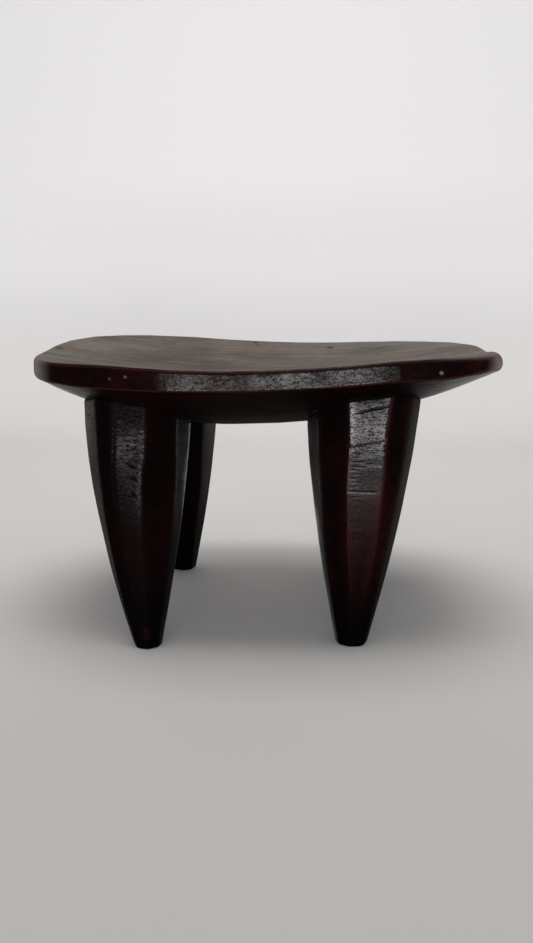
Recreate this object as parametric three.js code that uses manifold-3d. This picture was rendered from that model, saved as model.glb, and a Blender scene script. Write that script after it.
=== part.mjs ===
// A low four-legged stool of the kind hewn out of one block of dark hardwood: a thick dished seat
// with a hull-shaped underside, standing on four stout legs that taper to small blunt feet.
// Every surface is left by an adze, so the rim is a ring of short flats and each leg has nine facets.
// The seat and the legs are separate solids that meet at the cut where each leg leaves the underside.
// Millimetres. +X is to the right seen from the front, +Y to the back, +Z up, floor at zero.
import * as THREE from "three";
import { mergeVertices } from "three/addons/utils/BufferGeometryUtils.js";
import Module from "manifold-3d";

// Seat, seen from above
const seatLength = 500;
const seatDepth = 340;
const leftOutlinePower = 2.7; // 2 is an ellipse, higher is squarer
const rightOutlinePower = 3.2;

// Seat, seen from the side
const seatMiddleHeight = 270.5; // floor to the middle of the dished top
const endRise = 22; // the dish curls up by this much at either end
const sideRise = 18.5; // and by this much at the middle of the front and back edges
const backLift = 2; // the back edge stands this much over that, the front edge under it
const twistRise = 8.5; // the front right and back left are warped up by this much, the other two down

// Rim and underside
const rimThickness = 20.5;
const endThinning = 2; // the rim is this much thinner at either end
const noseLift = 2.5; // and its top stands this much higher at the right-hand end
const topEdgeRound = 4.5;
const leftEndRound = 6; // the upper edge is rubbed rounder at the left end
const rightEndRound = 10; // and rounder still at the right end
const lowerEdgeRound = 5;
const rimBatter = 1.2; // the foot of the rim is drawn in by this much
const hullDrop = 35; // the underside bellies this far below the foot of the rim, following the dish
const hullLean = 10; // the belly is this much deeper at the left end and shallower at the right end
const hullPower = 2.5; // 2 is a parabola, higher is a flatter belly with steeper sides

// Legs
const footChamfer = 3.5;
const arrisWidth = 4; // the flat that blunts each edge between two facets
const fullWidthDrop = 8.5; // a leg reaches its full width this far under the middle of the dish
const legJointGap = 0.3; // a hair line at the cut between a leg and the underside
const cutOverrun = 40; // how far the cutting shape reaches past what it cuts

// The four legs as they were cut, no two quite alike. Each overhang runs from the seat's edge to the leg's
// face at its full width. The foot stands inwards of the leg's top along the seat, and outwards across it.
// Half way up, the leg bows towards the seat's end.
const frontLeftWidth = 106;
const frontLeftDepth = 92;
const frontLeftEndOverhang = 66.5;
const frontLeftEdgeOverhang = 46;
const frontLeftFootWidth = 27.5;
const frontLeftFootIn = 13.5;
const frontLeftFootOut = 58.5;
const frontLeftBow = 2;

const frontRightWidth = 110;
const frontRightDepth = 102;
const frontRightEndOverhang = 91.8;
const frontRightEdgeOverhang = 34;
const frontRightFootWidth = 31;
const frontRightFootIn = 9.5;
const frontRightFootOut = 34;
const frontRightBow = 0.5;

const backLeftWidth = 104;
const backLeftDepth = 98;
const backLeftEndOverhang = 80;
const backLeftEdgeOverhang = 38;
const backLeftFootWidth = 29;
const backLeftFootIn = 4;
const backLeftFootOut = 35;
const backLeftBow = -0.8;

const backRightWidth = 108;
const backRightDepth = 100;
const backRightEndOverhang = 81;
const backRightEdgeOverhang = 37;
const backRightFootWidth = 28;
const backRightFootIn = 5;
const backRightFootOut = 36;
const backRightBow = 0.8;

// A taper power of 1 is a straight cone, higher is a fuller barrel. The facets' corners are shares of a
// turn from the right, anticlockwise seen from above.
const legs = [
  {
    name: "leg_front_left",
    side: -1,
    end: -1,
    topWidth: frontLeftWidth,
    topDepth: frontLeftDepth,
    endOverhang: frontLeftEndOverhang,
    edgeOverhang: frontLeftEdgeOverhang,
    footWidth: frontLeftFootWidth,
    footIn: frontLeftFootIn,
    footOut: frontLeftFootOut,
    bow: frontLeftBow,
    taperPower: 1.8,
    facetCornerShares: [0.01, 0.125, 0.25, 0.375, 0.49, 0.619, 0.683, 0.774, 0.892],
  },
  {
    name: "leg_front_right",
    side: 1,
    end: -1,
    topWidth: frontRightWidth,
    topDepth: frontRightDepth,
    endOverhang: frontRightEndOverhang,
    edgeOverhang: frontRightEdgeOverhang,
    footWidth: frontRightFootWidth,
    footIn: frontRightFootIn,
    footOut: frontRightFootOut,
    bow: frontRightBow,
    taperPower: 1.42,
    facetCornerShares: [-0.005, 0.12, 0.245, 0.37, 0.495, 0.604, 0.711, 0.822, 0.888],
  },
  {
    name: "leg_back_left",
    side: -1,
    end: 1,
    topWidth: backLeftWidth,
    topDepth: backLeftDepth,
    endOverhang: backLeftEndOverhang,
    edgeOverhang: backLeftEdgeOverhang,
    footWidth: backLeftFootWidth,
    footIn: backLeftFootIn,
    footOut: backLeftFootOut,
    bow: backLeftBow,
    taperPower: 1.45,
    facetCornerShares: [0.02, 0.13, 0.215, 0.3, 0.4, 0.505, 0.63, 0.75, 0.885],
  },
  {
    name: "leg_back_right",
    side: 1,
    end: 1,
    topWidth: backRightWidth,
    topDepth: backRightDepth,
    endOverhang: backRightEndOverhang,
    edgeOverhang: backRightEdgeOverhang,
    footWidth: backRightFootWidth,
    footIn: backRightFootIn,
    footOut: backRightFootOut,
    bow: backRightBow,
    taperPower: 1.55,
    facetCornerShares: [-0.01, 0.105, 0.2, 0.285, 0.39, 0.5, 0.62, 0.755, 0.87],
  },
];

// How far each corner of a leg's section stands out, as shares of its half width
const cornerReachShares = [1.08, 1.07, 1.09, 1.06, 1.08, 1.08, 1.07, 1.09, 1.07];
const legRingShares = [0.08, 0.17, 0.27, 0.38, 0.5, 0.62, 0.74, 0.86, 1];

// Where the flats of the rim meet, as shares of a turn from the right-hand end, anticlockwise from above
const rimCornerShares = [
  0.03, 0.08, 0.125, 0.165, 0.205, 0.295, 0.34, 0.375, 0.41, 0.45, 0.485, 0.52, 0.56, 0.603, 0.637,
  0.675, 0.713, 0.808, 0.85, 0.903, 0.945, 0.985,
];
const stepsPerFlat = 5;
const flatnessShare = 0.45; // 0 leaves the smooth outline, 1 cuts each flat dead straight

// How far along the seat, from the middle to either end, the rounder edge starts, and where it is at its full
const endStartShare = 0.45;
const endFullShare = 0.97;
const endPower = 8; // the thinning and the lift stay close to the ends

// Rings of the seat's loft, as shares of the way from the middle to the edge
const topRingShares = [0.15, 0.32, 0.5, 0.66, 0.8, 0.91];
const undersideRingShares = [1, 0.96, 0.89, 0.8, 0.69, 0.56, 0.4, 0.22];
const topEdgeSteps = 4;
const lowerEdgeSteps = 2;

const darkWood = { color: 0x2b1713, roughness: 0.42, metalness: 0 };

const halfLength = seatLength / 2;
const halfDepth = seatDepth / 2;

// A point of the smooth outline at an angle: a superellipse, squarer to the right than to the left
function smoothOutline(angle) {
  const across = Math.cos(angle);
  const along = Math.sin(angle);
  const power = 2 / (across < 0 ? leftOutlinePower : rightOutlinePower);
  return new THREE.Vector2(
    Math.sign(across) * Math.abs(across) ** power * halfLength,
    Math.sign(along) * Math.abs(along) ** power * halfDepth,
  );
}

// The rim's outline as adzed: straight flats between the corners, softened back towards the smooth curve
function adzedOutline() {
  const points = [];
  rimCornerShares.forEach((share, i) => {
    const next = rimCornerShares[i + 1] ?? 1 + rimCornerShares[0];
    const from = smoothOutline(share * 2 * Math.PI);
    const to = smoothOutline(next * 2 * Math.PI);
    for (let k = 0; k < stepsPerFlat; k++) {
      const part = k / stepsPerFlat;
      const smooth = smoothOutline((share + (next - share) * part) * 2 * Math.PI);
      points.push(smooth.lerp(from.clone().lerp(to, part), flatnessShare));
    }
  });
  return stretchedToSize(points);
}

// Brings the outline back to the seat's full length and depth, centred, after the flats have cut into it
function stretchedToSize(points) {
  const box = new THREE.Box2().setFromPoints(points);
  const centre = box.getCenter(new THREE.Vector2());
  const size = box.getSize(new THREE.Vector2());
  const stretch = new THREE.Vector2(seatLength, seatDepth).divide(size);
  return points.map((p) => p.sub(centre).multiply(stretch));
}

// Height of the dished and warped top over the floor
function topHeight(x, y) {
  const u = x / halfLength;
  const v = y / halfDepth;
  const nose = noseLift * Math.max(u, 0) ** endPower;
  return seatMiddleHeight + endRise * u * u + sideRise * v * v + backLift * v - twistRise * u * v + nose;
}

function rimThicknessAt(x) {
  return rimThickness - endThinning * Math.abs(x / halfLength) ** endPower;
}

// The radius of the upper edge, which grows towards either end
function topEdgeRoundAt(x) {
  const share = THREE.MathUtils.smoothstep(Math.abs(x), endStartShare * halfLength, endFullShare * halfLength);
  return topEdgeRound + ((x < 0 ? leftEndRound : rightEndRound) - topEdgeRound) * share;
}

// Height of the hull-shaped underside: the foot of the rim, less a belly that is deepest in the middle
function undersideHeight(x, y, edgeShare) {
  const belly = hullDrop - (hullLean * x) / halfLength;
  return topHeight(x, y) - rimThicknessAt(x) - belly * (1 - edgeShare ** hullPower);
}

const outline = adzedOutline();

// One ring of the loft: the outline drawn in by an inset at its edge, then by a share towards the middle.
// The inset, and the drop under the height given, may change along the rim.
function seatRing(insetAt, share, heightAt, dropAt = () => 0) {
  return outline.map((p) => {
    const inset = insetAt(p.x);
    const x = p.x * (1 - inset / halfLength) * share;
    const y = p.y * (1 - inset / halfDepth) * share;
    return new THREE.Vector3(x, y, heightAt(x, y) - dropAt(p.x));
  });
}

// Skins a stack of rings of equal length into a closed body, with a fan to a point at each end
function loft(rings, firstPoint, lastPoint) {
  const steps = rings[0].length;
  const positions = [firstPoint, ...rings.flat(), lastPoint].flatMap((p) => [p.x, p.y, p.z]);
  const index = [];
  const at = (ring, k) => 1 + ring * steps + (k % steps);
  const last = 1 + rings.length * steps;
  for (let k = 0; k < steps; k++) {
    index.push(0, at(0, k), at(0, k + 1));
    for (let ring = 0; ring + 1 < rings.length; ring++) {
      index.push(at(ring, k), at(ring + 1, k), at(ring + 1, k + 1));
      index.push(at(ring, k), at(ring + 1, k + 1), at(ring, k + 1));
    }
    index.push(last, at(rings.length - 1, k + 1), at(rings.length - 1, k));
  }
  const geometry = new THREE.BufferGeometry();
  geometry.setAttribute("position", new THREE.Float32BufferAttribute(positions, 3));
  geometry.setIndex(index);
  return geometry;
}

const undersideInset = () => rimBatter + lowerEdgeRound;

// The rings of the underside, from the foot of the rim to near the middle, lowered by a clearance
function undersideRings(clearance) {
  return undersideRingShares.map((share) =>
    seatRing(undersideInset, share, (x, y) => undersideHeight(x, y, share) - clearance),
  );
}

function undersideMiddle(clearance) {
  return new THREE.Vector3(0, 0, undersideHeight(0, 0, 0) - clearance);
}

// The seat: dished top, rounded upper edge, battered rim, blunted lower edge, hull-shaped underside
function makeSeat() {
  const rings = topRingShares.map((share) => seatRing(topEdgeRoundAt, share, topHeight));
  for (let k = 0; k <= topEdgeSteps; k++) {
    const turn = ((k / topEdgeSteps) * Math.PI) / 2;
    const insetAt = (x) => topEdgeRoundAt(x) * (1 - Math.sin(turn));
    const dropAt = (x) => topEdgeRoundAt(x) * (1 - Math.cos(turn));
    rings.push(seatRing(insetAt, 1, topHeight, dropAt));
  }
  for (let k = 0; k < lowerEdgeSteps; k++) {
    const turn = ((k / lowerEdgeSteps) * Math.PI) / 2;
    const inset = rimBatter + lowerEdgeRound * (1 - Math.cos(turn));
    const lift = lowerEdgeRound * (1 - Math.sin(turn));
    rings.push(seatRing(() => inset, 1, topHeight, (x) => rimThicknessAt(x) - lift));
  }
  rings.push(...undersideRings(0));
  return loft(rings, new THREE.Vector3(0, 0, topHeight(0, 0)), undersideMiddle(0));
}

const seatTop = seatMiddleHeight + endRise + sideRise + Math.abs(backLift) + Math.abs(twistRise) + noseLift;

// What is cut off the legs: everything over the underside, and over the foot of the rim outside it
function makeLegCutter() {
  const wide = 1 + cutOverrun / halfDepth;
  const outside = (heightAt) => seatRing(undersideInset, wide, heightAt);
  const rings = [
    outside(() => seatTop + cutOverrun),
    outside((x, y) => undersideHeight(x / wide, y / wide, 1) - legJointGap),
    ...undersideRings(legJointGap),
  ];
  return loft(rings, new THREE.Vector3(0, 0, seatTop + cutOverrun), undersideMiddle(legJointGap));
}

// One section of a leg: an irregular polygon whose corners are cut off by narrow arrises
function legSection(centre, halfX, halfY, height, cornerShares) {
  const corners = cornerShares.map((share, i) => {
    const angle = share * 2 * Math.PI;
    const reach = cornerReachShares[i];
    return new THREE.Vector3(
      centre.x + Math.cos(angle) * halfX * reach,
      centre.y + Math.sin(angle) * halfY * reach,
      height,
    );
  });
  return corners.flatMap((corner, i) => {
    const before = corners[(i + corners.length - 1) % corners.length];
    const after = corners[(i + 1) % corners.length];
    return [before, after].map((to) => corner.clone().lerp(to, arrisWidth / 2 / corner.distanceTo(to)));
  });
}

// A leg, from its blunt foot up through the seat, before the seat's shape is cut off its top
function makeLegBlank(leg) {
  const top = new THREE.Vector2(
    leg.side * (halfLength - leg.endOverhang - leg.topWidth / 2),
    leg.end * (halfDepth - leg.edgeOverhang - leg.topDepth / 2),
  );
  const foot = new THREE.Vector2(top.x - leg.side * leg.footIn, top.y + leg.end * leg.footOut);
  const fullHeight = seatMiddleHeight - fullWidthDrop;
  const sectionAt = (share, height, inset) => {
    const centre = foot.clone().lerp(top, share);
    centre.x += leg.side * leg.bow * (1 - (2 * share - 1) ** 2);
    const fullness = 1 - (1 - share) ** leg.taperPower;
    const [halfX, halfY] = [leg.topWidth, leg.topDepth].map(
      (width) => (leg.footWidth + (width - leg.footWidth) * fullness) / 2 - inset,
    );
    return legSection(centre, halfX, halfY, height, leg.facetCornerShares);
  };
  const rings = [
    sectionAt(0, 0, footChamfer),
    sectionAt(footChamfer / fullHeight, footChamfer, 0),
    ...legRingShares.map((share) => sectionAt(share, share * fullHeight, 0)),
    sectionAt(1, seatTop, 0),
  ];
  return loft(rings.reverse(), new THREE.Vector3(top.x, top.y, seatTop), new THREE.Vector3(foot.x, foot.y, 0));
}

const wasm = await Module();
wasm.setup();

function solidOf(geometry) {
  const merged = mergeVertices(geometry);
  return new wasm.Manifold(
    new wasm.Mesh({
      numProp: 3,
      vertProperties: merged.attributes.position.array,
      triVerts: new Uint32Array(merged.index.array),
    }),
  );
}

function geometryOf(solid) {
  const mesh = solid.getMesh();
  const geometry = new THREE.BufferGeometry();
  geometry.setAttribute("position", new THREE.BufferAttribute(mesh.vertProperties, mesh.numProp));
  geometry.setIndex(new THREE.BufferAttribute(mesh.triVerts, 1));
  geometry.computeVertexNormals();
  return geometry;
}

function woodenMesh(name, geometry) {
  const mesh = new THREE.Mesh(geometry, new THREE.MeshStandardMaterial(darkWood));
  mesh.name = name;
  return mesh;
}

const legCutter = solidOf(makeLegCutter());

const stool = new THREE.Group();
stool.name = "carved_stool";
stool.add(woodenMesh("seat", makeSeat()));
for (const leg of legs) {
  const cut = solidOf(makeLegBlank(leg)).subtract(legCutter);
  stool.add(woodenMesh(leg.name, geometryOf(cut)));
}

export default stool;
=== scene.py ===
# A low four-legged stool hewn out of one block of dark hardwood, dressed for a plain studio picture.
# Metres. +X is to the right seen from the front, +Y to the back, +Z up, floor at zero.
import math
import bpy
import numpy as np
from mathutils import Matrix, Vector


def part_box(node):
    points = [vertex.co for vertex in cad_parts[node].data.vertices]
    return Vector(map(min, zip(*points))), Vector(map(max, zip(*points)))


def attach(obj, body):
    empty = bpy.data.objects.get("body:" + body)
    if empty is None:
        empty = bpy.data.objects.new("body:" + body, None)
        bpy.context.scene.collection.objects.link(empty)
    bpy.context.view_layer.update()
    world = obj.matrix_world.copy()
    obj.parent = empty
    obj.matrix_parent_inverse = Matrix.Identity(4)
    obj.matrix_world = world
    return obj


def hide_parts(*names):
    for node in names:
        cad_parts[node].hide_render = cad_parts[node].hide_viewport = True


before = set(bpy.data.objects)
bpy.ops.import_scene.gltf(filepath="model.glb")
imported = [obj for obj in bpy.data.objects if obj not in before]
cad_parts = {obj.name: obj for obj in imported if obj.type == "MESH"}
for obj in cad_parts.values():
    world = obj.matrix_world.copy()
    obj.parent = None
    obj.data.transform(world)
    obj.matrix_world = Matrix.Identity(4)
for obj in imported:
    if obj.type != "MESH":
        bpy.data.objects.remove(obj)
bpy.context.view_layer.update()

mm = 0.001


def inMm(*values):
    return tuple(value * mm for value in values)


# Random numbers from 0 to 1, one for each whole-numbered cell: its three numbers are multiplied by large
# odd numbers, mixed, and cut down to 24 bits
def cellRandom(cell, seed):
    whole = cell.astype(np.int64).astype(np.uint64)
    mixed = whole[..., 0] * np.uint64(73856093) ^ whole[..., 1] * np.uint64(19349663)
    mixed = mixed ^ whole[..., 2] * np.uint64(83492791) ^ np.uint64(seed * 2654435761)
    mixed = (mixed ^ mixed >> np.uint64(29)) * np.uint64(0xBF58476D1CE4E5B9)
    mixed = (mixed ^ mixed >> np.uint64(32)) * np.uint64(0x94D049BB133111EB)
    mixed = mixed ^ mixed >> np.uint64(31)
    return (mixed & np.uint64(0xFFFFFF)) / float(0x1000000)


# Smooth noise from -1 to 1: the random numbers at the corners of a point's cell, blended by s*s*(3 - 2*s)
def smoothNoise(points, cellSize, seed):
    scaled = points / np.asarray(cellSize)
    cell = np.floor(scaled)
    part = scaled - cell
    part = part * part * (3 - 2 * part)
    total = np.zeros(points.shape[:-1])
    for corner in np.ndindex(2, 2, 2):
        weight = np.prod(np.where(corner, part, 1 - part), axis=-1)
        total += weight * cellRandom(cell + corner, seed)
    return total * 2 - 1


# Ripples: smooth noise that runs from nothing down to the mark's depth
def ripples(points, mark, seed):
    size, depth = mark
    return depth * (smoothNoise(points, size, seed) - 1) / 2


# Strokes of an adze: the distance in cells to the nearest of the centres, one to a cell, to the power 1.6.
# Each stroke is a shallow bowl, whose given level stays where it was, and low ridges stand between them.
def strokes(points, mark, seed):
    size, depth, level = mark
    scaled = points / np.asarray(size)
    cell = np.floor(scaled)
    nearest = np.full(points.shape[:-1], np.inf)
    for step in np.ndindex(3, 3, 3):
        there = cell + step - 1
        centre = there + np.stack([cellRandom(there, seed + k) for k in range(3)], -1)
        nearest = np.minimum(nearest, ((scaled - centre) ** 2).sum(-1))
    return depth * (np.sqrt(nearest) ** 1.6 - level)


# Rises from 0 at low to 1 at high by s*s*(3 - 2*s)
def ease(value, low, high):
    part = np.clip((value - low) / (high - low), 0, 1)
    return part * part * (3 - 2 * part)


# From first to second as the share goes from 0 to 1
def blend(first, second, share):
    return first + (second - first) * share


# Starts from one level, which each change raises or lowers as the value goes from its low to its high
def stepped(value, level, changes):
    return level + sum(change * ease(value, low, high) for low, high, change in changes)


# A bell of height 1: e to the power -(distance / width)^2
def bell(distance, width):
    return np.exp(-((distance / width) ** 2))


def bellAt(points, place, radius):
    return bell(np.linalg.norm(points - np.array(place), axis=-1), radius)


# How far along a line, from 0 to 1, the place nearest to each point is, and how far off it is
def nearLine(x, y, ends):
    startX, startY, stepX, stepY = ends[0], ends[1], ends[2] - ends[0], ends[3] - ends[1]
    part = np.clip(((x - startX) * stepX + (y - startY) * stepY) / (stepX**2 + stepY**2), 0, 1)
    return part, np.hypot(x - startX - part * stepX, y - startY - part * stepY)


# The outward direction at each point of a grid of rings: the step down the rings cross the step round them
def gridNormals(grid):
    around = np.roll(grid, -1, axis=1) - np.roll(grid, 1, axis=1)
    normal = np.cross(np.gradient(grid, axis=0), around)
    return normal / np.maximum(np.linalg.norm(normal, axis=-1, keepdims=True), 1e-12)


def addMesh(name, points, faces):
    mesh = bpy.data.meshes.new(name)
    mesh.from_pydata(points.tolist(), [], faces)
    mesh.polygons.foreach_set("use_smooth", np.ones(len(mesh.polygons), bool))
    piece = bpy.data.objects.new(name, mesh)
    bpy.context.collection.objects.link(piece)
    return piece, mesh


# Skins a grid of rings, from the top down, into a closed body with a fan to a point at either end. The
# materials read its marks, which are values from 0 to 1 at each point.
def closedBody(name, node, grid, marks):
    rings, columns = grid.shape[:2]
    low, high = (np.array(corner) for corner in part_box(node))
    grid = np.clip(grid, low, high)  # stays inside the solid that it stands for
    points = np.concatenate([[grid[0].mean(0)], grid.reshape(-1, 3), [grid[-1].mean(0)]])
    at = 1 + np.arange(rings * columns).reshape(rings, columns)
    after = np.roll(at, -1, axis=1)
    first, last = np.zeros(columns, int), np.full(columns, rings * columns + 1)
    walls = np.stack([at[:-1], at[1:], after[1:], after[:-1]], -1).reshape(-1, 4)
    fans = np.concatenate([np.stack([first, at[0], after[0]], -1), np.stack([last, after[-1], at[-1]], -1)])
    piece, mesh = addMesh(name, points, walls.tolist() + fans.tolist())
    for markName, values in marks.items():
        whole = np.concatenate([[values[0].mean()], np.clip(values, 0, 1).ravel(), [values[-1].mean()]])
        mesh.attributes.new(markName, "FLOAT", "POINT").data.foreach_set("value", whole.astype(np.float32))
    mesh.update()
    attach(piece, "root")
    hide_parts(node)
    return piece


print("stage 1: the seat's measures")

seatLow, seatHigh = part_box("seat")
halfLength = (seatHigh.x - seatLow.x) / 2
halfDepth = (seatHigh.y - seatLow.y) / 2

seat = {
    "leftSquareness": 2.7,  # 2 is an ellipse, higher is squarer
    "rightSquareness": 3.2,
    "flatness": 0.45,  # how far the outline is drawn from that curve to its flats
    # where the rim's flats meet, as shares of a turn from the right, anticlockwise from above
    "rimCorners": [
        0.03, 0.08, 0.125, 0.165, 0.205, 0.295, 0.34, 0.375, 0.41, 0.45, 0.485, 0.52, 0.56, 0.603, 0.637,
        0.675, 0.713, 0.808, 0.85, 0.903, 0.945, 0.985,
    ],
    "middleHeight": 270.5 * mm,  # floor to the middle of the dished top
    "endRise": 22 * mm,  # the dish rises by this to either end
    "sideRise": 19 * mm,  # and by this to either side
    "backLift": 3 * mm,  # tipped up by this at the back and down at the front
    "frontLift": 1.3 * mm,  # and curled up again by this at the front
    "twistRise": 8.5 * mm,  # the back left and front right stand this much higher, the other two lower
    "noseLift": 0.9 * mm,  # the top stands this much higher at the right-hand end
    "endPower": 8,  # that lift and the rim's thinning stay close to the ends
    # low swellings of the top: place, radius and height
    "lumps": [
        inMm(175, 125, 55, 1.8), inMm(222, 75, 48, 3.1), inMm(238, 38, 30, 1.6),
        inMm(-145, -130, 65, 3.0), inMm(208, -85, 44, 2.3),
    ],
    "rimThickness": 22.3 * mm,
    "endThinning": 1.5 * mm,  # the rim is this much thinner at either end
    # where the rim is thicker: along, reach and how much
    "thickenings": [inMm(-150, 75, 2.8), inMm(185, 45, 2.2)],
    "rimLean": 1.3 * mm,  # the rim's long sides lean in by this much at their upper edge
    "topRound": 5.2 * mm,  # radius of the upper edge
    "leftRound": 6 * mm,  # rubbed rounder at the left end
    "rightRound": 13.5 * mm,  # and rounder still at the right end
    "roundGrows": (0.45, 0.97),  # between these shares of the half length
    "lowerRound": 2.6 * mm,  # height of the blunt lower edge
    "endLowerRound": 6.5 * mm,  # and at either end
    "ends": (0.75, 0.95),  # an end starts and is full at these shares of the half length
    "hullInset": 6.2 * mm,  # the hull starts this far inside the rim
    "hullDrop": 34.3 * mm,  # and hangs this far under the rim's foot in the middle
    "hullLean": 10 * mm,  # more by this towards the left end, and less towards the right
    "hullPower": 1.95,  # 2 is a parabola, higher is fuller
    "outlineSteps": 40000,  # the outline is first drawn in this many steps
    "columns": 880, "topRings": 46, "rimRings": 15, "roundRings": 8, "undersideRings": 34,
    "topRingPower": 0.8,  # under 1 sets the top's rings closer towards its edge
    "innerTopRing": 0.01, "innerUnderRing": 0.02,  # the innermost rings, as shares of the outline
}


# Height of the top: a dish that rises with the square of either distance, tipped, warped by their product,
# lifted at the right end by a high power, with bells for the swellings
def topHeight(x, y):
    u, v = x / halfLength, y / halfDepth
    dish = seat["endRise"] * u * u + seat["sideRise"] * v * v
    nose = seat["noseLift"] * np.maximum(u, 0) ** seat["endPower"]
    lumps = sum(rise * bell(np.hypot(x - a, y - b), radius) for a, b, radius, rise in seat["lumps"])
    tipped = seat["backLift"] * v + seat["frontLift"] * np.minimum(v, 0) ** 2
    return seat["middleHeight"] + dish + tipped - seat["twistRise"] * u * v + nose + lumps


# Thickness of the rim: even, with bell-shaped thicker places, less a high power of the way to either end
def rimThickness(x):
    more = sum(much * bell(x - along, reach) for along, reach, much in seat["thickenings"])
    return seat["rimThickness"] + more - seat["endThinning"] * np.abs(x / halfLength) ** seat["endPower"]


# The radius of the upper edge, which grows smoothly towards either end
def topRound(x):
    end = np.where(x < 0, seat["leftRound"], seat["rightRound"])
    return blend(seat["topRound"], end, ease(np.abs(x) / halfLength, *seat["roundGrows"]))


# Height of the underside: the foot of the rim, less a belly that falls off with a power of the way out
def undersideHeight(x, y, edgeShare):
    belly = seat["hullDrop"] - seat["hullLean"] * x / halfLength
    return topHeight(x, y) - rimThickness(x) - belly * (1 - edgeShare ** seat["hullPower"])


# The outline as adzed: a superellipse, x = |cos|^(2/n) and y = |sin|^(2/n) with their signs, drawn part of
# the way onto the chords between its corners, then set out again at even steps along its length
def seatOutline():
    def smooth(turn):
        c, s = np.cos(math.tau * turn), np.sin(math.tau * turn)
        power = 2 / np.where(c < 0, seat["leftSquareness"], seat["rightSquareness"])
        return np.stack([np.sign(c) * np.abs(c) ** power, np.sign(s) * np.abs(s) ** power], -1)

    corners = np.array(seat["rimCorners"] + [seat["rimCorners"][0] + 1])
    turn = np.linspace(corners[0], corners[-1], seat["outlineSteps"], endpoint=False)
    flat = np.searchsorted(corners, turn, side="right") - 1
    part = ((turn - corners[flat]) / (corners[flat + 1] - corners[flat]))[:, None]
    chord = smooth(corners[flat]) * (1 - part) + smooth(corners[flat + 1]) * part
    line = smooth(turn) * (1 - seat["flatness"]) + chord * seat["flatness"]
    low, high = line.min(0), line.max(0)
    line = (line - (low + high) / 2) / (high - low) * 2 * np.array([halfLength, halfDepth])
    line = np.concatenate([line, line[:1]])
    length = np.concatenate([[0], np.cumsum(np.linalg.norm(np.diff(line, axis=0), axis=1))])
    even = np.linspace(0, length[-1], seat["columns"], endpoint=False)
    return np.stack([np.interp(even, length, line[:, k]) for k in (0, 1)], -1)


outline = seatOutline()
outlineTurn = np.arctan2(outline[:, 1], outline[:, 0])
outlineReach = np.hypot(outline[:, 0], outline[:, 1])


# How far out from the middle a point of the underside is: its distance over the hull's in that direction
def edgeShareAt(x, y):
    hullReach = outlineReach * (1 - seat["hullInset"] / halfLength)
    reach = np.interp(np.arctan2(y, x), outlineTurn, hullReach, period=math.tau)
    return np.clip(np.hypot(x, y) / reach, 0, 1)


print("stage 2: the seat")


# The seat's rings: the top from its middle outwards, a quarter circle over the upper edge, the rim, a
# quarter ellipse under the lower edge, and the underside back to its middle
def seatGrid():
    x0, y0 = outline[:, 0], outline[:, 1]
    upper, thickness, hull = topRound(x0), rimThickness(x0), seat["hullInset"]
    atEnd = ease(np.abs(x0) / halfLength, *seat["ends"])
    lower = blend(seat["lowerRound"], seat["endLowerRound"], atEnd)
    lean = seat["rimLean"] * (1 - atEnd)
    bends = np.linspace(0, math.pi / 2, seat["roundRings"])[1:]
    rings = []  # each ring's inset, drop under the top, share of the way out, and whether it is underneath
    for share in np.linspace(seat["innerTopRing"], 1, seat["topRings"]) ** seat["topRingPower"]:
        rings.append((lean + upper, 0, share, False))
    for bend in bends:
        rings.append((lean + upper * (1 - math.sin(bend)), upper * (1 - math.cos(bend)), 1, False))
    for part in np.linspace(0, 1, seat["rimRings"])[1:]:
        rings.append((lean * (1 - part), upper + (thickness - lower - upper) * part, 1, False))
    for bend in bends:
        rings.append((hull * (1 - math.cos(bend)), thickness - lower * (1 - math.sin(bend)), 1, False))
    for share in np.linspace(1, seat["innerUnderRing"], seat["undersideRings"])[1:]:
        rings.append((hull, 0, share, True))
    grid = np.zeros((len(rings), len(x0), 3))
    for ring, (inset, drop, share, under) in zip(grid, rings):
        x = x0 * (1 - inset / halfLength) * share
        y = y0 * (1 - inset / halfDepth) * share
        ring[:, 0], ring[:, 1] = x, y
        ring[:, 2] = undersideHeight(x, y, share) if under else topHeight(x, y) - drop
    return grid


seatMarks = {
    # strokes: the size of one, its depth, and the level in its bowl that stays where it was
    "topStroke": (inMm(75, 15, 60), 0.35 * mm, 0.6),  # long and shallow, along the grain
    "rimStroke": (inMm(26, 26, 24), 0.45 * mm, 0.7),
    "undersideStroke": (inMm(36, 22, 22), 0.7 * mm, 0.6),
    # ripples: the size of one and its depth
    "topWave": (inMm(110, 55, 60), 0.5 * mm),
    "wrinkle": (inMm(3.2, 3.2, 2), 0.12 * mm),  # the rim's fine torn wrinkles
    "flute": (inMm(4.5, 4.5, 80), 0.5 * mm),  # narrow upright flutes at the left end
    # painted shade in the flutes and scores: where it starts and is full in a flute's depth, and how dark
    # it is
    "fluteDarkens": inMm(0.3, 0.425),  # between these depths
    "darkness": 0.6,  # of flutes and scores
    # dents in the top: place, radius and depth
    "nicks": [
        inMm(-238, 24, 3.2, 1.2), inMm(-21, 157, 2.5, 0.7), inMm(-17, 146, 2, 0.5), inMm(74, 140, 4, 0.5),
    ],
    # scores along the grain of the top: from and to, width and depth
    "scores": [
        inMm(-113, 18, -97, 20, 1.6, 0.35), inMm(108, 131, 126, 124, 2.2, 0.35),
        inMm(122, 118, 149, 128, 2.2, 0.4), inMm(126, 90, 138, 88, 1.8, 0.3),
        inMm(-190, -60, -150, -66, 1.6, 0.2), inMm(-60, 95, -25, 98, 2.4, 0.2),
    ],
    # small pale spots on the rim: place, radius and how pale
    "paleSpots": [
        (inMm(170.4, -152.3, 283.2), 1.1 * mm, 0.9),
        (inMm(-142.5, -156.3, 276.5), 0.9 * mm, 0.12),
        (inMm(-126.3, -160.5, 278.9), 0.9 * mm, 0.3),
    ],
}

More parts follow.
